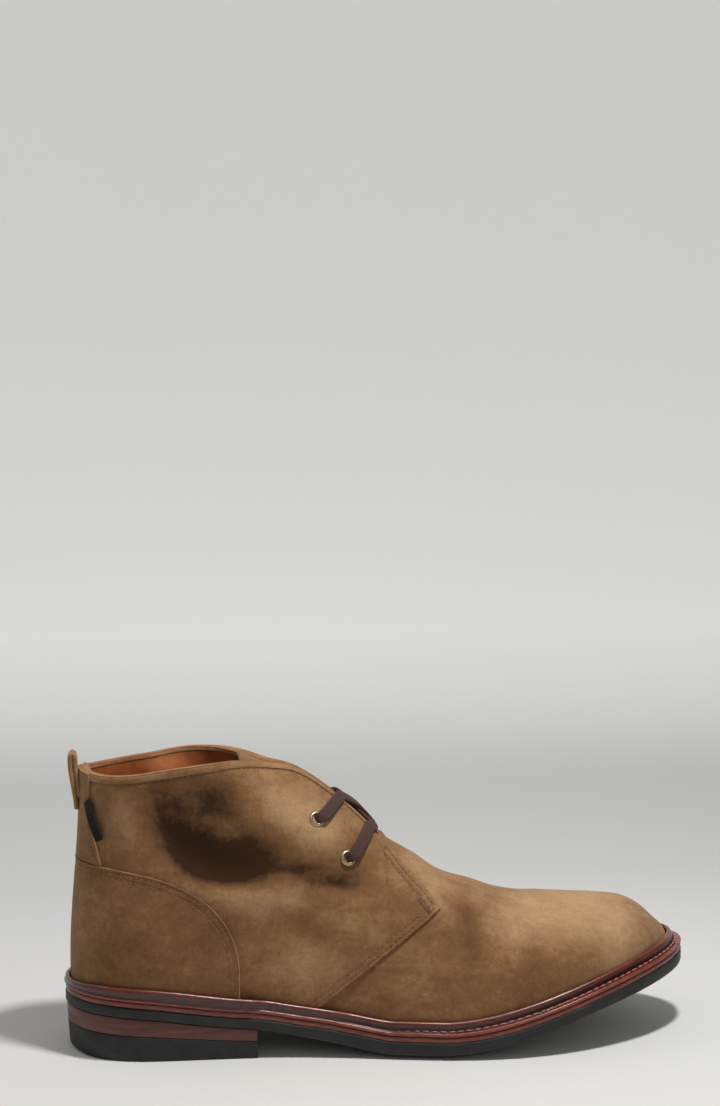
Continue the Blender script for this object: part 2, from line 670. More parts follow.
def edgeTable(side):
    # the same edge as (u, v), carried on to the feather line and to the throat
    low, high = quarterEdge()
    line = np.concatenate([low, high[:-1]])
    u = uOf(shareOf(line[:, 0]))
    v = rowAtHeight(u, side, line[:, 1])
    cornerV = v[len(low) - 1]
    u = np.concatenate([u[:1], u, [uOf(throatShare)]])
    return u, np.maximum.accumulate(np.concatenate([[0.0], v, [1.0]])), cornerV


edges = {side: edgeTable(side) for side in (-1, 1)}


def topSpeed(u, side):
    # millimetres of surface per share of the section, close under its top edge
    return np.linalg.norm(surfacePoint(u, side, 1.0) - surfacePoint(u, side, 0.97), axis=-1) / 0.03


def suedePanel(name, bm, stands, thickness):
    piece = finishMesh(name, bm, suede, (stands,), closed=False)
    return thicken(piece, thickness, 0.3, edgeMaterial=suedeEdge)


def makeQuarter(side, name):
    q = quarterDraft
    edgeU, edgeV, cornerV = edges[side]
    line = np.concatenate(quarterEdge())
    cornerRow = round(cornerV * q["cornerRow"] * q["rows"]) / q["rows"]

    def uv(s, t):
        upper = cornerV + (t - cornerRow) / (1 - cornerRow) * (1 - cornerV)
        v = np.where(t <= cornerRow, t / cornerRow * cornerV, upper)
        run = q["evenShare"] * s + (1 - q["evenShare"]) * (1 - (1 - s) ** q["crowding"])
        return np.interp(v, edgeV, edgeU) * run, v

    def place(s, t):
        u, v = uv(s, t)
        fromTop = (1 - v) * topSpeed(u, side)
        press = edgeRelief(distanceTo(line, surfacePoint(u, side, v)), q["seams"])
        return skin(u, side, v, q["grow"] + press + groove(fromTop, q["collarRows"], q["collarPress"]))

    def nap(s, t):
        u, v = uv(s, t)
        return napAt(u, side, v)

    bm = facingOut(gridMesh(q["columns"], q["rows"], place, nap))
    return suedePanel(name, bm, "upper", q["thickness"])


vampDraft = {"grow": 0.0, "thickness": 1.15, "overlap": 13, "columns": 120, "rows": 64}


def makeVamp():
    d = vampDraft

    def uv(s, t):
        # it starts under the quarters, except along the top line
        v = 1 - np.abs(2 * t - 1)
        fronts = [np.interp(v, edges[side][1], edges[side][0]) for side in (-1, 1)]
        start = np.where(t < 0.5, *fronts) - d["overlap"] / last["length"] / 1.5 * np.minimum(1, (1 - v) * 5)
        return start + (1 - start) * s, v

    def nap(s, t):
        u, v = uv(s, t)
        return np.where(t < 0.5, napAt(u, -1, v), napAt(u, 1, v))

    bm = gridMesh(d["columns"], 2 * d["rows"], lambda s, t: overRidge(*uv(s, t), t < 0.5, d["grow"]), nap)
    piece = finishMesh("vamp", facingOut(bm, (40, 0, 20)), suede, ("upper",), closed=False)
    return thicken(piece, d["thickness"])


def coons(bottom, top, left, right, s, t):
    # four edges given as (n, 2) runs of (u, v); a smooth sheet between them
    def at(run, place):
        return readAt(place, np.linspace(0, 1, len(run)), run)
    s1, t1 = s[:, None], t[:, None]
    flat = (1 - t1) * at(bottom, s) + t1 * at(top, s) + (1 - s1) * at(left, t) + s1 * at(right, t)
    corners = ((1 - s1) * (1 - t1) * bottom[0] + s1 * (1 - t1) * bottom[-1]
               + (1 - s1) * t1 * top[0] + s1 * t1 * top[-1])
    return flat - corners


counterDraft = {
    "top": 92, "front": -72, "reach": 0.65, "bend": 0.8, "straight": 0.43, "grow": 2.8, "thickness": 1.3,
    "cells": 112, "seams": (1.7, 3.9), "pile": 0.6,
}


def counterLine(shrink=0.0):
    # the counter's curved edge on the side view, from the back to the floor end
    c = counterDraft
    back = heelBack - soleSizes["reachHeel"]
    top, front = c["top"] - shrink, c["front"] - shrink
    low = top * c["straight"]
    handles = ((back, top), (back + (front - back) * c["reach"], top), (front, top * c["bend"]), (front, low))
    curve = bezier([np.array(p, float) for p in handles], np.linspace(0, 1, 60)[:, None])
    down = np.stack([np.full(12, front), np.linspace(low, featherHeight(front) + 0.5, 13)[1:]], -1)
    return np.concatenate([curve, down])


def makeCounter(side, name):
    c = counterDraft
    steps, cut, squash = 120, 62, 0.6  # points of the edge, where it turns down, v against u
    line = counterLine()
    line = line[line[:, 0] > surfacePoint(0.0, side, 0.5)[0] + 0.3]
    u, v = locate(*line.T, side)
    u = np.concatenate([[0.0], u])
    v = np.concatenate([[float(rowAtHeight(0.0, side, c["top"]))], v])
    run = spread(np.stack([u, v * squash], -1), steps)
    run[:, 1] /= squash
    run[-1, 1] = 0.0
    top, right = run[:cut], run[cut - 1:][::-1]
    left = np.stack([np.zeros(40), np.linspace(0, run[0, 1], 40)], -1)
    bottom = np.stack([np.linspace(0, run[-1, 0], 40), np.zeros(40)], -1)

    def place(s, t):
        u, v = np.clip(coons(bottom, top, left, right, s, t), 0, 1).T
        fromEdge = distanceTo(counterLine(), surfacePoint(u, side, v))
        return skin(u, side, v, c["grow"] + edgeRelief(fromEdge, c["seams"]))

    bm = gridMesh(c["cells"], c["cells"], place, lambda s, t: np.full(len(s), c["pile"]))
    return suedePanel(name, facingOut(bm, (-100, 0, 60)), "heel_counter", c["thickness"])


stripDraft = {
    "half": 12.6, "foot": 21, "low": 92.4, "high": 121, "top": 136.6, "footCurve": 1.2,
    "grow": 2.7, "crown": 0.15, "thickness": 1.25,
}


def uAtWidth(side, v, width):
    return search(np.zeros_like(v), np.full_like(v, uOf(0.2)),
                  lambda u: np.abs(surfacePoint(u, side, v)[..., 1]) < width, 22)


def stripHalfAt(z):
    d = stripDraft
    t = np.clip((d["high"] - z) / (d["high"] - d["low"]), 0, 1)
    return d["half"] + (d["foot"] - d["half"]) * t ** 1.2


def makeStrip():
    d = stripDraft

    def place(s, t):
        across = 2 * s - 1
        z = d["low"] + 0.4 + (d["top"] - d["low"] - 0.4) * t
        z = z - d["footCurve"] * (1 - t) * across ** 2  # the foot follows the counter's top edge

        def onSide(one, pick):
            v = rowAtHeight(0.04, one, z[pick])
            u = uAtWidth(one, v, np.abs(across[pick]) * stripHalfAt(z[pick]))
            v = np.minimum(rowAtHeight(u, one, z[pick]), 1.0)
            return skin(u, one, v, d["grow"] + d["crown"] * (1 - np.abs(across[pick]) ** 4))
        return bySide(np.where(across < 0, -1, 1), onSide)

    bm = facingOut(gridMesh(48, 60, place), (-100, 0, 110))
    return suedePanel("backStrip", bm, "back_strip", d["thickness"])


liningDraft = {"grow": -1.3, "overlap": 0.995, "toe": 0.985, "quarterThickness": 0.8, "vampThickness": 0.7}


def makeLining():
    d = liningDraft

    def place(s, t):
        # t runs up the outer side, over the back and down the inner side
        u = uOf(throatShare) * np.abs(2 * t - 1) * d["overlap"]
        return bySide(np.where(t < 0.5, -1, 1),
                      lambda one, pick: skin(u[pick], one, 0.02 + 0.98 * s[pick], d["grow"]))

    bm = facingOut(gridMesh(56, 180, place), (-70, 0, 80))
    piece = finishMesh("quarterLining", bm, lining, ("upper",), closed=False)
    return thicken(piece, d["quarterThickness"], 0.2)


def makeVampLining():
    d = liningDraft
    start = uOf(throatShare) * d["overlap"]

    def place(s, t):
        return overRidge(start + (1 - start) * s * d["toe"], 1 - np.abs(2 * t - 1), t < 0.5, d["grow"])

    bm = facingOut(gridMesh(60, 64, place), (40, 0, 20))
    piece = finishMesh("vampLining", bm, lining, ("upper",), closed=False)
    return thicken(piece, d["vampThickness"], 0.0)


# the turned edge's section: out from the wall, up from its top edge
collarDraft = {
    "stations": 300, "reach": 0.992, "drop": 0.3,
    "section": [(1.3, -3.4), (1.72, -3.2), (1.82, -1.8), (1.72, -0.5), (1.2, 0.3), (0.3, 0.62), (-0.8, 0.6),
                (-1.8, 0.2), (-2.3, -0.7), (-2.4, -1.8), (-2.1, -2.3), (-1.2, -1.3), (0.6, -1.4)],
}


def makeCollarRoll():
    # along the collar and down both facings
    d = collarDraft

    def place(s, t):
        out, up = ringStep(t, d["section"]).T
        reach = np.abs(2 * s - 1) * d["reach"]

        def onSide(one, pick):
            u, v = uOf(throatShare) * reach[pick], np.ones(pick.sum())
            edge = skin(u, one, v, 0.0)
            upward = unit(edge - skin(u, one, v - 0.03, 0.0))
            return edge + surfaceNormal(u, one, v) * out[pick, None] + upward * (up[pick, None] - d["drop"])
        return bySide(np.where(s < 0.5, -1, 1), onSide)

    bm = gridMesh(d["stations"], len(d["section"]), place)
    weld(bm, fill=True)
    piece = finishMesh("collarEdge", bm, suedeEdge, ("upper",))
    subdivide(piece, 1)
    return piece


def subdivide(piece, levels):
    fine = piece.modifiers.new("fine", "SUBSURF")
    fine.levels = fine.render_levels = levels


tongueDraft = {
    "u": [0.352, 0.362, 0.385, 0.42, 0.455, 0.49, 0.52, 0.55],  # its rows, from the rim towards the toe
    "bulge": [2.6, 2.0, 0.7, 0.3, 0.2, 0.1, 0.0, 0.0],
    "low": [0.87, 0.8, 0.75, 0.75, 0.75, 0.75, 0.76, 0.78],
    "grow": -2.5, "flank": 0.55, "thickness": 2.0, "curl": (0.06, 0.8, 0.5),
}


def makeTongue():
    d = tongueDraft

    def place(s, t):
        rows = np.arange(len(d["u"]))
        u, rise, low = (np.interp(s * (len(rows) - 1), rows, d[key]) for key in ("u", "bulge", "low"))
        across = 2 * t - 1

        def onSide(one, pick):
            # the flanks lie against the boot, the middle spans from one to the other
            reach = np.abs(across[pick])
            onFlank = np.clip((reach - (1 - d["flank"])) / d["flank"], 0, 1)
            flank = skin(u[pick], one, 1 - onFlank * (1 - low[pick]), d["grow"])
            lat, med = (skin(u[pick], end, np.ones(pick.sum()), d["grow"]) for end in (-1, 1))
            share = 0.5 + 0.5 * one * np.clip(reach / (1 - d["flank"]), 0, 1)
            middle = lat + (med - lat) * share[:, None]
            middle[:, 2] += rise[pick] * 4 * share * (1 - share)
            return np.where((reach > 1 - d["flank"])[:, None], flank, middle)
        points = bySide(np.sign(across + 1e-12), onSide)
        # the top edge curls back a little
        curlLength, back, up = d["curl"]
        curl = np.clip(1 - s / curlLength, 0, 1)
        points[:, 0] -= back * curl
        points[:, 2] += up * curl
        return points

    bm = facingOut(gridMesh(60, 48, place), (-30, 0, 80))
    piece = finishMesh("tongueLeather", bm, suede, ("tongue",), closed=False)
    return thicken(piece, d["thickness"], 0.5, 3)


loopDraft = {
    "width": 12, "leather": 2.4,
    "route": [(-146.6, 115), (-147.1, 120), (-148.2, 127), (-149.3, 134), (-149.5, 139.2), (-148.7, 141.8),
              (-147.8, 141.6), (-147.2, 138.6), (-146.9, 134), (-145.9, 127), (-145.2, 121)],
}


bandSection = [(-1, 0), (-0.93, -0.75), (-0.75, -1), (-0.4, -1), (0, -1), (0.4, -1), (0.75, -1), (0.93, -0.75),
               (1, 0), (0.93, 0.75), (0.75, 1), (0.4, 1), (0, 1), (-0.4, 1), (-0.75, 1), (-0.93, 0.75)]


def bandAlong(centres, acrosses, ups, width, thickness, name, material, stands):
    # a flat band with rounded edges, along centres
    count, around = len(centres), len(bandSection)

    def place(s, t):
        i = np.round(s * (count - 1)).astype(int)
        a, b = ringStep(t, bandSection).T
        return (centres[i] + acrosses[i] * (a * np.broadcast_to(width, count)[i] / 2)[:, None]
                + ups[i] * (b * np.broadcast_to(thickness, count)[i] / 2)[:, None])

    bm = gridMesh(count - 1, around, place)
    uvLayer = bm.loops.layers.uv.new("UVMap")
    bm.verts.ensure_lookup_table()
    for face in bm.faces:
        for loop in face.loops:
            k, i = divmod(loop.vert.index, count)
            loop[uvLayer].uv = (i * 0.06, k / around)
    weld(bm, fill=True)
    piece = finishMesh(name, bm, material, stands)
    subdivide(piece, 1)
    return piece


def makePullLoop():
    d = loopDraft
    points = smoothRoute([(x, 0, z) for x, z in d["route"]], 44)
    across = np.tile([0.0, 1.0, 0.0], (len(points), 1))
    up = np.cross(across, alongOf(points))
    return bandAlong(points, across, up, d["width"], d["leather"], "pullLoop", suedeEdge,
                     ("pull_loop",))


def smoothRoute(stops, count):
    # Catmull-Rom through the stops
    stops = np.array(stops, float)
    ext = np.concatenate([[2 * stops[0] - stops[1]], stops, [2 * stops[-1] - stops[-2]]])
    dense = []
    for i in range(1, len(ext) - 2):
        p0, p1, p2, p3 = ext[i - 1:i + 3]
        for t in np.linspace(0, 1, 16, endpoint=False):
            dense.append(0.5 * (2 * p1 + (p2 - p0) * t + (2 * p0 - 5 * p1 + 4 * p2 - p3) * t ** 2
                                + (3 * p1 - p0 - 3 * p2 + p3) * t ** 3))
    dense.append(ext[-2])
    return spread(np.array(dense), count)


tabDraft = {
    "route": [(-134.2, 103.4), (-135.9, 109.3), (-137.6, 115.2), (-139.4, 121.4)],
    "width": 5.0, "thickness": 1.3, "grow": 3.0, "puff": 0.8, "rows": 26,
}


def makeTab():
    d = tabDraft
    route = smoothRoute([(x, 0, z) for x, z in d["route"]], d["rows"])
    u, v = locate(route[:, 0], route[:, 2], -1)
    centres = skin(u, -1, v, d["grow"] + d["puff"] * np.sin(np.pi * np.linspace(0, 1, d["rows"])))
    along = alongOf(centres)
    across = unit(np.cross(along, surfaceNormal(u, -1, v)))
    return bandAlong(centres, across, np.cross(across, along), d["width"], d["thickness"], "sideTab", tabLook,
                     ("side_tab",))


makeVamp()
makeQuarter(-1, "quarterLateral")
makeQuarter(1, "quarterMedial")
makeCounter(-1, "counterLateral")
makeCounter(1, "counterMedial")
makeStrip()
makeLining()
makeVampLining()
makeCollarRoll()
makeTongue()
makePullLoop()
makeTab()
print("upper made")


def around(s):
    # s runs once round the sole: up the outer side to the toe and back along the inner side
    side = np.where(s < 0.5, -1, 1)
    u = 1 - np.abs(2 * s - 1)
    return u, side


def rimRing(s, grow):
    u, side = around(s)
    return bySide(side, lambda one, pick: rimPoint(u[pick], one, weltReach(u[pick]) + grow[pick]), 2)


def insetAt(u, side, rise):
    # how far in from the feather line the upper's wall stands at a height above it
    u = np.minimum(u, 0.94)

    def tooLow(v):
        point = surfacePoint(u, side, v)
        return point[..., 2] - featherHeight(point[..., 0]) < rise
    wall = surfacePoint(u, side, search(np.zeros_like(u), np.ones_like(u), tooLow, 24))
    return ((featherPoint(u, side) - wall[..., :2]) * featherNormal(u, side)).sum(axis=-1)


weltDraft = {
    "stations": 600, "ridge": 2.3, "clear": 0.25, "toeRoom": 0.45,
    "heelLower": 0.42, "heelEnds": (-150, -134), "waistHigher": 0.16, "waist": (-98, 24),
    "layers": [(1.4, (-30, -18)), (1.45, (-68, -58))],  # of the quarter and of the counter, over the vamp
    # how light the leather is at each step of its section
    "shade": [0.5, 0.8, 0.9, 1, 1, 1, 1, 0.55, 0.1, 0.05, 0.1, 0.15, 0.3, 0.75, 1, 0.5, 0.3],
}


def layersAt(u):
    # how thick the panels are that lie over the vamp here
    x = heelBack + last["length"] * atOf(u)
    return sum(thick * (1 - smooth(x, *ends)) for thick, ends in weltDraft["layers"])


def weltFoot(s, rise, out):
    # a place beside the upper at a height above the feather line
    u, side = around(s)

    def onSide(one, pick):
        room = weltDraft["toeRoom"] * smooth(u[pick], 0.8, 0.9) + weltDraft["clear"]
        inset = insetAt(u[pick], one, rise[pick]) - layersAt(u[pick]) - room - out[pick]
        return rimPoint(u[pick], one, -inset)
    return bySide(side, onSide, 2)


def makeWelt():
    d = weltDraft
    ridge, rise, thick = d["ridge"], soleSizes["ridgeRise"], soleSizes["welt"]
    # (hugs the upper?, height, how far out): from the hidden foot, round the edge, up the storm ridge
    section = [(1, 0, 0.6), (1, 0.05, 3.0), (0, 0.02, -0.5), (0, 0.35, -0.05), (0, thick * 0.55, 0.1),
               (0, thick * 0.9, -0.12), (0, thick + 0.05, -0.7), (0, thick - 0.05, -1.5),
               (1, thick - 0.25, ridge + 1.1), (1, thick - 0.35, ridge + 0.3), (1, thick + 0.7, ridge + 0.05),
               (1, rise * 0.62, ridge * 1.06), (1, rise * 0.84, ridge * 1.05), (1, rise * 0.99, ridge * 0.72),
               (1, rise * 1.03, ridge * 0.35), (1, rise * 0.94, 0.02), (1, thick, 0.0)]

    def place(s, t):
        hugs, z, out = ringStep(t, section).T
        at = atOf(around(s)[0])
        x = heelBack + last["length"] * at
        # the ridge is lower round the heel and a little higher at the waist
        waist, reach = d["waist"]
        tall = (1 - d["heelLower"] * (1 - smooth(x, *d["heelEnds"]))
                + d["waistHigher"] * np.exp(-((x - waist) / reach) ** 2))
        z = np.where(z > thick, thick + (z - thick) * tall, z)
        rounded = smooth(at, 0.93, 1) * (z > thick * 0.7)
        near, rim = weltFoot(s, z, out), rimRing(s, out - 1.1 * rounded)
        z = np.where(hugs == 0, z - 0.7 * rounded, z)
        flat = np.where(hugs[:, None] == 1, near, rim)
        return np.concatenate([flat, (featherHeight(flat[:, 0]) + z)[:, None]], -1)

    bm = gridMesh(d["stations"], len(section), place, lambda s, t: ringStep(t, d["shade"]))
    piece = finishMesh("stormWelt", bm, weltLook, ("welt",))
    subdivide(piece, 1)
    return piece


def above(base, rise, edgeShare=0.0):
    # a rule for a height: a line of the sole, a rise above it and a share of the tread's edge
    return lambda x: base(x) + edgeLift(x) * edgeShare + rise


def plateMesh(stations, levels, fromShare=0.0, toShare=1.0, reach=1, steps=6):
    # A bent plate of rings. Each goes up the outer side by the levels (how far out, and a rule for the height),
    # across the top, down the inner side and back across the floor.
    start, end = float(uOf(fromShare)), float(uOf(toShare))
    across = [(k + 1) / steps for k in range(steps - 1)]
    ring = [(level, 0) for level in levels] + [(levels[-1], share) for share in across]
    ring += [(level, 1) for level in reversed(levels)] + [(levels[0], 1 - share) for share in across]

    def place(s, t):
        u = start + (end - start) * s
        step = ringStep(t, range(len(ring)))
        points = np.zeros((len(s), 3))
        for index, ((grow, height), share) in enumerate(ring):
            pick = step == index
            lat, med = (rimPoint(u[pick], side, weltReach(u[pick]) * reach + grow) for side in (-1, 1))
            flat = lat + (med - lat) * share
            points[pick] = np.concatenate([flat, height(flat[:, 0])[:, None]], -1)
        return points

    bm = gridMesh(stations, len(ring), place)
    weld(bm, fill=True)
    return bm


def makeOutsole():
    # rounded tread edge, a straight wall and a small lip under the midsole
    tread = [(-soleSizes["crownWidth"], 0, 0), (-7, 0, 0.25), (-3, 0, 0.62), (-1.1, 0, 0.88), (-0.25, 0.35, 1),
             (0.0, 1.1, 1)]
    levels = [(grow, above(underside, rise, share)) for grow, rise, share in tread]
    levels += [(grow, above(outsoleTop, rise)) for grow, rise in ((0.0, -0.9), (-0.15, -0.25), (-0.7, 0))]
    return finishMesh("outsoleRubber", plateMesh(260, levels), rubberLook, ("outsole",))


def makeMidsole():
    bottom = above(outsoleTop, 0.05)
    top = above(outsoleTop, soleSizes["midsole"] + 2 * soleSizes["gap"] - 0.1)
    levels = [(-0.9, bottom), (-0.45, above(bottom, 0.2)), (-0.3, above(bottom, 0.6)),
              (-0.3, above(top, -0.8)), (-0.45, above(top, -0.35)), (-1.0, top)]
    return finishMesh("midsoleLeather", plateMesh(260, levels), midsoleLook, ("midsole",))


def liftPlane(x):
    return (underside(x) - soleSizes["gap"]) * soleSizes["liftShare"]


def heelWall(share):
    return -0.6 - 1.2 * (1 - share)


def heelPlate(bottom, top, low, high, soft=0.35):
    levels = [(heelWall(low) - 0.6, bottom), (heelWall(low) - 0.15, above(bottom, soft * 0.4)),
              (heelWall(low), above(bottom, soft * 1.4)), (heelWall(high), above(top, -soft * 1.4)),
              (heelWall(high) - 0.12, above(top, -soft * 0.4)), (heelWall(high) - 0.6, top)]
    return plateMesh(90, levels, 0, soleSizes["heelLength"] / last["length"])


def makeHeel():
    edge = heelBack - soleSizes["reachHeel"]
    share = soleSizes["liftShare"]

    def bevel(x):
        return soleSizes["heelBevel"] * np.maximum(0, 1 - (x - edge) / soleSizes["heelBevelLength"]) ** 1.5
    lift = heelPlate(liftPlane, above(underside, -0.05), share, 1.0)
    finishMesh("heelLift", lift, liftLook, ("heel_lift",))
    cap = heelPlate(bevel, above(liftPlane, -0.05), 0.0, share)
    finishMesh("topLift", cap, rubberLook, ("top_lift",))


def makeInsole():
    top = above(featherHeight, soleSizes["insole"])
    levels = [(-3.2, above(featherHeight, 0.05)), (-2.7, above(featherHeight, 1.2)), (-3.4, above(top, -0.3)),
              (-5.0, top)]
    bm = plateMesh(120, levels, 0.0, 0.995, reach=0)
    return finishMesh("insoleBoard", bm, insoleLook, ("insole",))


makeWelt()
makeOutsole()
makeMidsole()
makeHeel()
makeInsole()
print("sole made")


eyeletDraft = {"holes": [(-34.5, 109.5), (-19.5, 91.7)], "radius": 4.0, "bore": 2.1, "depth": 2.9}
laceDraft = {
    "width": 6.2, "thickness": 1.6, "steps": 90, "reach": 13.8,
    "holeWidth": 3.7, "holeThickness": 2.6, "gather": (2.0, 8.5), "insideHole": (3.4, 1.2),
    "climb": [(0.08, 1.0), (0.28, 1.1), (0.55, 0.6), (0.82, 0.2), (1.0, 0.1)],  # share of the way, rise
}


def seatOf(hole, side):
    u = uOf(shareOf(hole[0]))
    v = rowAtHeight(u, side, hole[1])
    normal = surfaceNormal(u, side, v)
    return skin(u, side, v, quarterDraft["grow"]), normal, float(u), float(v)


def makeEyelet(hole, side, name, stands):
    bore, radius, depth = eyeletDraft["bore"], eyeletDraft["radius"], eyeletDraft["depth"]
    section = [(bore, -depth), (bore, 0.2), (bore + 0.25, 0.75), (bore + 0.75, 0.98), (bore + 1.2, 0.8),
               (radius - 0.05, 0.3), (radius, 0.05), (bore + 0.6, 0.0), (bore + 0.6, -depth)]
    bm = bmesh.new()
    ring = [bm.verts.new(Vector((r, 0, h)) * mm) for r, h in section]
    loop = [bm.edges.new((ring[i - 1], ring[i])) for i in range(len(ring))]
    bmesh.ops.spin(bm, geom=ring + loop, cent=(0, 0, 0), axis=(0, 0, 1), angle=2 * math.pi, steps=36,
                   use_merge=True)
    point, normal, _, _ = seatOf(hole, side)
    turn = Vector((0, 0, 1)).rotation_difference(Vector(normal)).to_matrix().to_4x4()
    place = Matrix.Translation(Vector((point[0], point[1] + last["sideShift"], point[2])) * mm)
    bmesh.ops.transform(bm, matrix=place @ turn, verts=bm.verts)
    return finishMesh(name, bm, eyeletLook, (stands,))


def strandPoints(side, start, end, lift):
    # from inside one eyelet, out, over both edges of the opening, and into the eyelet on the other side
    over = quarterDraft["grow"] + laceDraft["thickness"] / 2 + 0.2

    def climb(hole, one):
        point, normal, u0, v0 = seatOf(hole, one)
        edge = float(uOf(shareOf(hole[0] + laceDraft["reach"])))
        stops = [(point - normal * depth, normal) for depth in laceDraft["insideHole"]]
        for share, rise in laceDraft["climb"]:
            u = u0 + (edge - u0) * share ** 0.85
            v = v0 + (1 - v0) * share ** 1.25
            stops.append((skin(u, one, v, over + rise), surfaceNormal(u, one, v)))
        return stops
    here, there = climb(start, side), climb(end, -side)
    middle = (here[-1][0] + there[-1][0]) / 2 + np.array([0.3, 0, 0.95]) * lift
    return here + [(middle, unit(here[-1][1] + there[-1][1]))] + there[::-1]


def makeStrand(side, start, end, lift, name):
    d = laceDraft
    stops = [np.concatenate(stop) for stop in strandPoints(side, start, end, lift)]
    line = spread(smoothRoute(stops, d["steps"] * 3), d["steps"])
    centres, facing = line[:, :3], line[:, 3:]
    along = alongOf(centres)
    # inside the hole the band turns, so its broad side is carried on from the strand outside
    across = np.cross(along, facing)
    size = np.linalg.norm(across, axis=1)
    good = size > 0.75
    index = np.arange(d["steps"])
    across = readAt(index, index[good], across[good] / size[good, None])
    across = unit(across - along * (across * along).sum(axis=1, keepdims=True))
    run = runOf(centres)
    print(name, "is", round(float(run[-1]), 1), "mm long")
    # the band gathers where it goes through the hole
    flat = smooth(np.minimum(run, run[-1] - run), *d["gather"])
    width = d["holeWidth"] + (d["width"] - d["holeWidth"]) * flat
    thickness = d["holeThickness"] + (d["thickness"] - d["holeThickness"]) * flat
    return bandAlong(centres, across, np.cross(across, along), width, thickness, name, laceLook,
                     ("lace",))


upperHole, lowerHole = eyeletDraft["holes"]
for side, word in ((-1, "lateral"), (1, "medial")):
    makeEyelet(upperHole, side, "eyeletUpper" + word.title(), f"eyelet_{word}_upper")
    makeEyelet(lowerHole, side, "eyeletLower" + word.title(), f"eyelet_{word}_lower")
makeStrand(1, upperHole, lowerHole, 0.0, "laceUnder")
makeStrand(-1, upperHole, lowerHole, 1.8, "laceOver")
print("lace made")


def beadShape():
    bm = bmesh.new()
    turn = Matrix.Rotation(math.pi / 2, 4, "Y")
    bmesh.ops.create_uvsphere(bm, u_segments=6, v_segments=5, radius=1, matrix=turn)
    bmesh.ops.recalc_face_normals(bm, faces=bm.faces)
    bm.verts.ensure_lookup_table()
    shape = np.array([v.co[:] for v in bm.verts]), [[v.index for v in face.verts] for face in bm.faces]
    bm.free()
    return shape


bead = beadShape()


def stitchRow(beads, points, normals, pitch, length, width, height=None, turned=False):
    run = runOf(points)
    here = (np.arange(int(run[-1] / pitch)) + 0.5) * pitch
    along = unit(readAt(here + 0.6, run, points) - readAt(here - 0.6, run, points))
    normal = readAt(here, run, normals)
    normal = unit(normal - along * (normal * along).sum(axis=1, keepdims=True))
    across = np.cross(normal, along)
    if turned:
        along, across = across, -along
    size = np.array([length, width, height or width]) / 2
    for centre, *axes in zip(readAt(here, run, points), along, across, normal):
        beads.append(centre + (bead[0] * size) @ np.array(axes))


def joinBeads(name, beads, material):
    count = len(bead[0])
    points = (np.concatenate(beads) + (0, last["sideShift"], 0)) * mm
    faces = [[k + i * count for k in face] for i in range(len(beads)) for face in bead[1]]
    mesh = bpy.data.meshes.new(name)
    mesh.from_pydata(points.tolist(), [], faces)
    for face in mesh.polygons:
        face.use_smooth = True
    mesh.materials.append(material)
    piece = linked(name, mesh)
    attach(piece, "root")
    return piece


def sew(beads, side, place, grow, style):
    # one row on the upper; place holds its (u, v)
    u, v = place
    stitchRow(beads, skin(u, side, v, grow), surfaceNormal(u, side, v), **style)


def shifted(line, distance):
    along = alongOf(line)
    return line + np.stack([-along[:, 1], along[:, 0]], -1) * distance


seam = {"pitch": 2.7, "length": 2.1, "width": 0.62}
barTack = {"pitch": 0.75, "length": 2.6, "width": 0.7, "turned": True}
weltSeam = {"pitch": 4.1, "length": 3.5, "width": 1.15, "height": 0.9}
weltSeamPlace = {"inside": 3.1, "heelInside": 1.6, "rise": 0.1, "heelRise": 0.35, "waist": (-95, -45)}


def makeUpperStitches():
    q = quarterDraft
    beads = []
    for side in (-1, 1):
        for distance in q["seams"]:
            for line in quarterEdge():
                run = shifted(line, distance)
                run = run[run[:, 1] > 24][1:-1]
                sew(beads, side, locate(*run.T, side), q["grow"] - 0.12, seam)
            run = counterLine(distance)
            run = run[(run[:, 0] > -142) & (run[:, 1] > featherHeight(run[:, 0]) + 6)]
            sew(beads, side, locate(*run.T, side), counterDraft["grow"] - 0.12, seam)
        # the bar tack across the quarter's corner
        x, z = q["corner"][0] - np.linspace(5.2, 10.5, 8), q["corner"][1] + np.linspace(-1.6, 5.0, 8)
        sew(beads, side, locate(x, z, side), q["grow"] + 0.1, barTack)
        # round the collar, and down the strip at the back
        u = np.linspace(0.1, 0.985, 120) * uOf(throatShare)
        sew(beads, side, (u, 1 - q["collarRows"][1] / topSpeed(u, side)), q["grow"] - 0.1, seam)
        z = np.linspace(95, 133, 40)
        u = uAtWidth(side, rowAtHeight(0.04, side, z), stripHalfAt(z) - 1.7)
        sew(beads, side, (u, rowAtHeight(u, side, z)), stripDraft["grow"] + 0.1, seam)
    joinBeads("upperStitches", beads, threadTan)


def makeWeltStitches():
    d = weltSeamPlace
    beads = []
    s = np.linspace(0.0, 1.0, 700)
    front = smooth(heelBack + last["length"] * atOf(around(s)[0]), *d["waist"])
    rim = rimRing(s, -d["heelInside"] - (d["inside"] - d["heelInside"]) * front)
    rise = soleSizes["welt"] + d["rise"] + d["heelRise"] * (1 - front)
    points = np.concatenate([rim, (featherHeight(rim[:, 0]) + rise)[:, None]], -1)
    stitchRow(beads, points, np.tile([0.0, 0.0, 1.0], (len(s), 1)), **weltSeam)
    joinBeads("weltStitches", beads, threadWelt)


makeUpperStitches()
makeWeltStitches()
print("stitches made")


# fitted to the photo: angles in degrees, the rest in metres and, for focal and frame, in pixels
view = {"yaw": -8.04, "pitch": 5.12, "distance": 0.9981, "height": 0.32492, "side": -0.00981, "focal": 2076.8,
        "frame": 720}


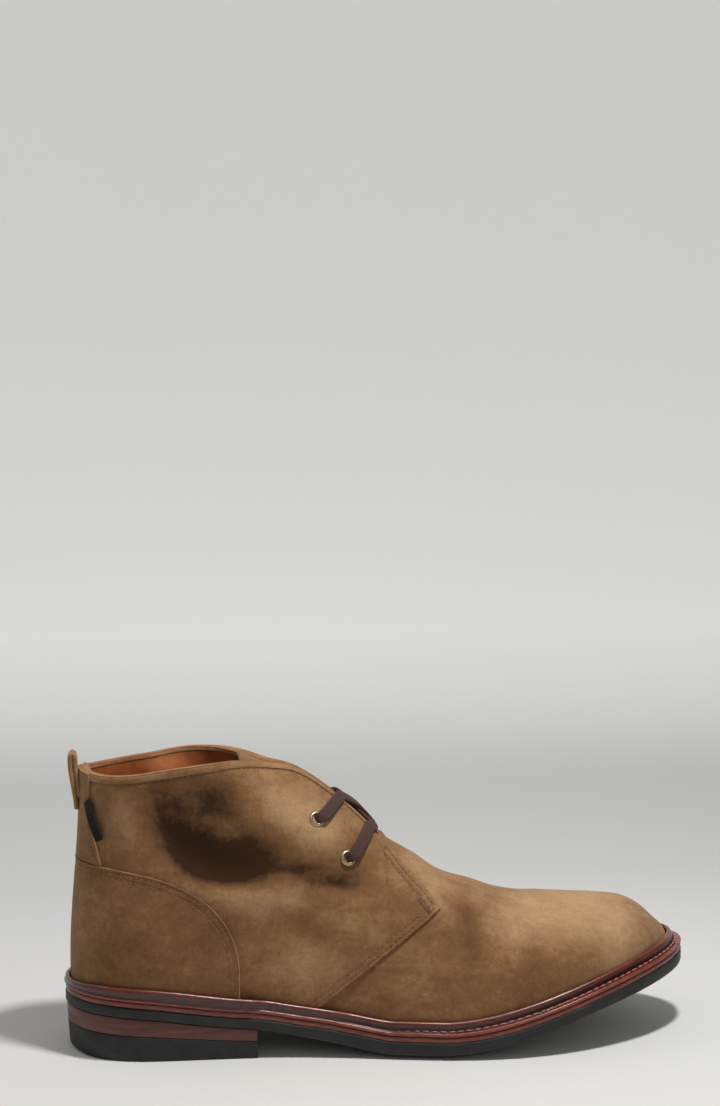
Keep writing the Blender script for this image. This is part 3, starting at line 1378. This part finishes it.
def makeCamera():
    yaw, pitch = math.radians(view["yaw"]), math.radians(view["pitch"])
    right = Vector((math.cos(yaw), math.sin(yaw), 0))
    ahead = Vector((-math.sin(yaw), math.cos(yaw), 0))
    camera = bpy.data.cameras.new("camera")
    camera.sensor_fit = "HORIZONTAL"
    camera.sensor_width = 36
    camera.lens = camera.sensor_width * view["focal"] / view["frame"]
    camera.clip_end = 30
    eye = linked("camera", camera)
    eye.location = (-ahead * view["distance"] + right * view["side"]
                    + Vector((0, last["sideShift"] * mm, view["height"])))
    eye.rotation_euler = Euler((math.pi / 2 - pitch, 0, yaw))
    bpy.context.scene.camera = eye


backdropDraft = {
    "front": -2200, "run": 5200, "bendFrom": 900, "bendLength": 1500, "radius": 1100, "wall": 2600,
    "wide": 7000,
    "colour": [(0.2, srgb(222, 221, 217)), (0.8, srgb(228, 227, 223))], "glowColour": srgb(250, 251, 248),
    # the wall has light of its own, so that it stays as bright as the floor
    "glow": [(0.15, 0.0), (0.3, 0.08), (0.42, 0.24), (0.6, 0.42), (0.9, 0.37)],
}


def makeBackdrop():
    d = backdropDraft

    def place(s, t):
        run = t * d["run"] + d["front"]
        bend = np.clip((run - d["bendFrom"]) / d["bendLength"], 0, None)
        angle = np.minimum(bend, 1) * math.pi / 2
        flat = run < d["bendFrom"]
        y = np.where(flat, run, d["bendFrom"] + d["radius"] * np.sin(angle))
        z = np.where(flat, 0, d["radius"] * (1 - np.cos(angle)) + np.maximum(0, bend - 1) * d["wall"])
        return np.stack([(s - 0.5) * d["wide"], y, z - 0.02], -1)

    material, tree, shader, place3d = newMaterial("paleFloor")
    split = wire(tree, tree.nodes.new("ShaderNodeSeparateXYZ"), {0: place3d})
    behind = mathNode(tree, "MULTIPLY", split.outputs[1], 0.5)
    wire(tree, shader, {
        "Base Color": rampNode(tree, noiseNode(tree, place3d, 1.3, 2, 0.5), d["colour"]), "Roughness": 0.9,
        "Specular IOR Level": 0.1, "Emission Color": d["glowColour"],
        "Emission Strength": rampNode(tree, behind, d["glow"]),
    })
    bm = gridMesh(8, 90, place)
    bmesh.ops.recalc_face_normals(bm, faces=bm.faces)
    for face in bm.faces:
        face.smooth = True
    mesh = bpy.data.meshes.new("backdrop")
    bm.to_mesh(mesh)
    bm.free()
    mesh.materials.append(material)
    drop = linked("backdrop", mesh)


# name, place, what it looks at, size and power
lights = [
    ("key", (0.12, -0.18, 0.8), (0.02, -0.03, 0.03), (0.08, 0.08), 4.9),
    ("left", (-0.6, 0.1, 0.5), (-0.2, 0, 0), (0.5, 0.5), 0.6),
    ("front", (0.5, -1.6, 0.9), (0, 0, 0.06), (1.2, 0.9), 1.6),
]


def makeLight(name, place, target, size, power):
    lamp = bpy.data.lights.new(name, "AREA")
    lamp.shape = "RECTANGLE"
    lamp.size, lamp.size_y = size
    lamp.energy = power
    thing = linked(name, lamp)
    thing.location = place
    thing.rotation_euler = (Vector(target) - Vector(place)).to_track_quat("-Z", "Y").to_euler()


def makeWorld():
    world = bpy.data.worlds.new("studio")
    world.use_nodes = True
    sky = world.node_tree.nodes["Background"]
    sky.inputs[0].default_value = (0.95, 0.96, 1.0, 1)
    sky.inputs[1].default_value = 0.23
    bpy.context.scene.world = world


makeCamera()
makeBackdrop()
makeWorld()
for light in lights:
    makeLight(*light)
bpy.context.scene.view_settings.view_transform = "Standard"
print("scene set")
